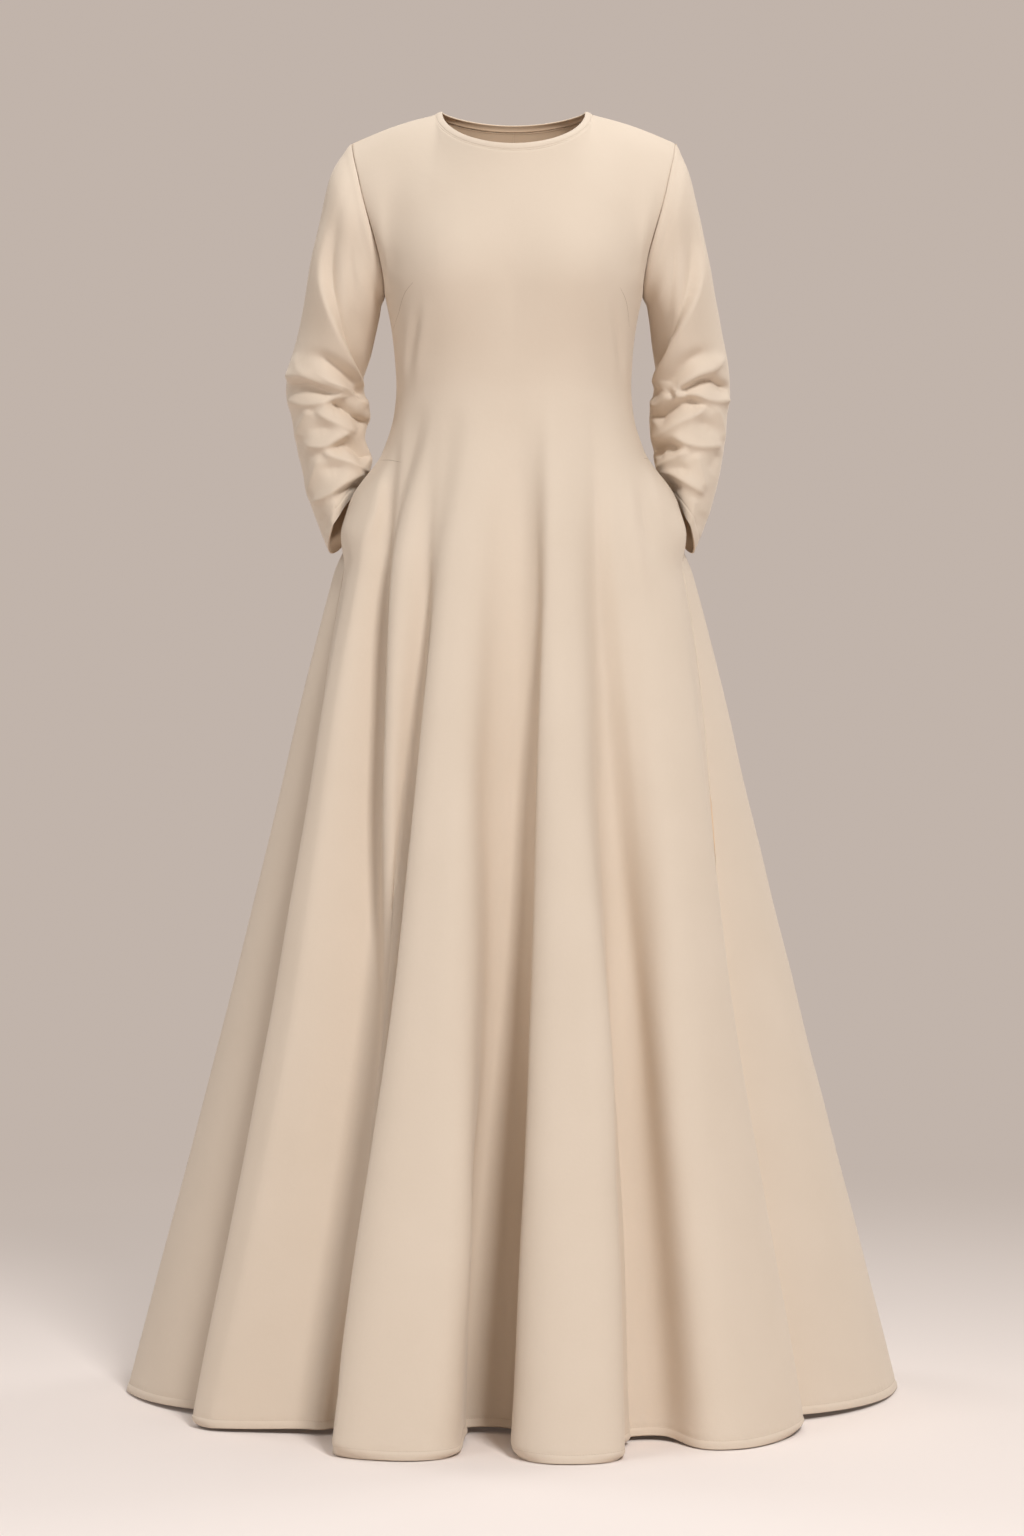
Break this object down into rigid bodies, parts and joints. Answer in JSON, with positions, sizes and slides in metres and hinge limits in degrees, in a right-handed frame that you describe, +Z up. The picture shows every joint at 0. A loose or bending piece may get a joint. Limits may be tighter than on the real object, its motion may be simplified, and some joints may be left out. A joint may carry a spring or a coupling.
{
  "type": "abaya",
  "caption": "Floor-length A-line abaya, worn and hollow, with a bound round neck, long set-in sleeves, bust darts and side-seam pockets.",
  "frame": {"origin": "in the middle of the wearer's body, level with the shoulders that hold the garment up", "axes": "+X towards the wearer's left, -Y out of the front, +Z up towards the neck"},
  "size_m": [0.8955, 0.7876, 1.4722],
  "materials": {
    "crepe": "matte crepe with a fine dry grain"
  },
  "bodies": {
    "root": {"front": "crepe", "back_left": "crepe", "back_right": "crepe", "sleeve_left": "crepe", "sleeve_right": "crepe", "neck_binding": "crepe", "pocket_left": "crepe", "pocket_right": "crepe"}
  },
  "joints": []
}
